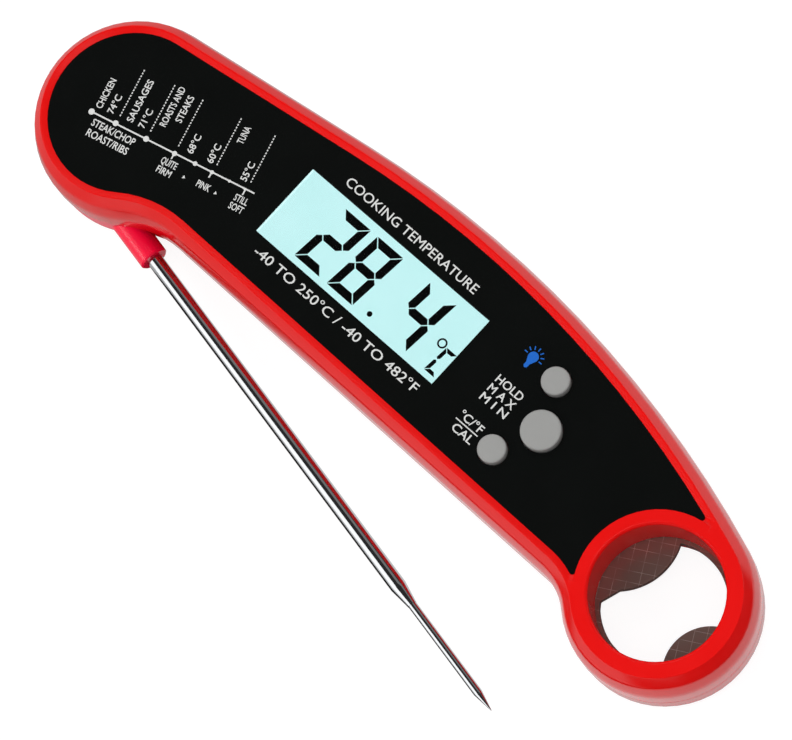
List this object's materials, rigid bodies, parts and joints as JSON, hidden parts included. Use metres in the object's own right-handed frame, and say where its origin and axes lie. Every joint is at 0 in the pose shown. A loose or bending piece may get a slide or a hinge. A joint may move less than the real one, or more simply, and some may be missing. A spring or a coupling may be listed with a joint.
{
  "type": "folding meat thermometer",
  "caption": "Pocket cooking thermometer: arched red body with a display and keys, a needle probe that folds out of its side, and a ring with a bottle opener.",
  "frame": {"origin": "on the hinge axis, at the back face that the thermometer lies on", "axes": "+X along the body from the hinge head to the ring, +Y towards the arched edge, +Z out of the face with the display"},
  "size_m": [0.1774, 0.0657, 0.0191],
  "materials": {
    "red_abs": "moulded ABS, glossy red",
    "crimson_abs": "moulded ABS, glossy crimson",
    "black_panel": "printed acrylic sheet, black",
    "clear_window": "clear acrylic",
    "display_glass": "liquid crystal glass, lit pale cyan",
    "clear_guide": "clear acrylic light guide",
    "lamp": "moulded lamp package",
    "white_plastic": "moulded, white",
    "seal_rubber": "silicone, dark grey",
    "circuit_board": "glass epoxy board, green",
    "black_plastic": "moulded, black",
    "screw_steel": "zinc plated",
    "reed_glass": "sealed glass",
    "wire": "insulated wire",
    "cell_steel": "nickel plated can",
    "spring_brass": "plated spring brass",
    "magnet": "nickel plated magnet",
    "opener_steel": "polished stainless steel",
    "washer_plastic": "acetal",
    "probe_steel": "stainless steel",
    "bead": "epoxy bead",
    "key_plastic": "moulded, grey"
  },
  "bodies": {
    "housing": {"front_housing": "red_abs", "rear_cover": "red_abs", "front_panel": "black_panel", "display_window": "clear_window", "lcd_cell": "display_glass", "light_guide": "clear_guide", "backlight_leds": "lamp", "lcd_holder": "white_plastic", "elastomer_connector": "seal_rubber", "main_board": "circuit_board", "controller_chip": "black_plastic", "tact_switches": "black_plastic", "board_screws": "screw_steel", "reed_switch": "reed_glass", "lead_harness": "wire", "coin_cell": "cell_steel", "contact_positive": "spring_brass", "contact_negative": "spring_brass", "housing_gasket": "seal_rubber", "housing_screws": "screw_steel", "back_magnets": "magnet", "opener_plate": "opener_steel", "pivot_screw": "screw_steel", "pivot_washer": "washer_plastic", "pivot_seal": "seal_rubber"},
    "probe": {"probe_hub": "crimson_abs", "hub_magnet": "magnet", "probe_tube": "probe_steel", "probe_tip": "probe_steel", "thermistor_bead": "bead", "sensor_leads": "wire"},
    "backlight_key": {"backlight_button": "key_plastic"},
    "hold_key": {"hold_button": "key_plastic"},
    "unit_key": {"unit_button": "key_plastic"},
    "door": {"battery_door": "red_abs", "door_seal": "seal_rubber"}
  },
  "joints": [
    {"name": "probe_fold", "type": "hinge", "parent": "housing", "child": "probe", "pos_m": [0, 0, 0.0046], "axis": [0, 0, 1], "range_deg": [-171, 9.5]},
    {"name": "backlight_press", "type": "slide", "parent": "housing", "child": "backlight_key", "axis": [0, 0, -1], "range_m": [0, 0.0005], "stiffness_N_per_m": 2500, "springref_m": -0.0002},
    {"name": "hold_press", "type": "slide", "parent": "housing", "child": "hold_key", "axis": [0, 0, -1], "range_m": [0, 0.0005], "stiffness_N_per_m": 2500, "springref_m": -0.0002},
    {"name": "unit_press", "type": "slide", "parent": "housing", "child": "unit_key", "axis": [0, 0, -1], "range_m": [0, 0.0005], "stiffness_N_per_m": 2500, "springref_m": -0.0002},
    {"name": "door_turn", "type": "hinge", "parent": "housing", "child": "door", "pos_m": [0.065, 0.0055, 0.002], "axis": [0, 0, 1], "range_deg": [0, 45]}
  ]
}
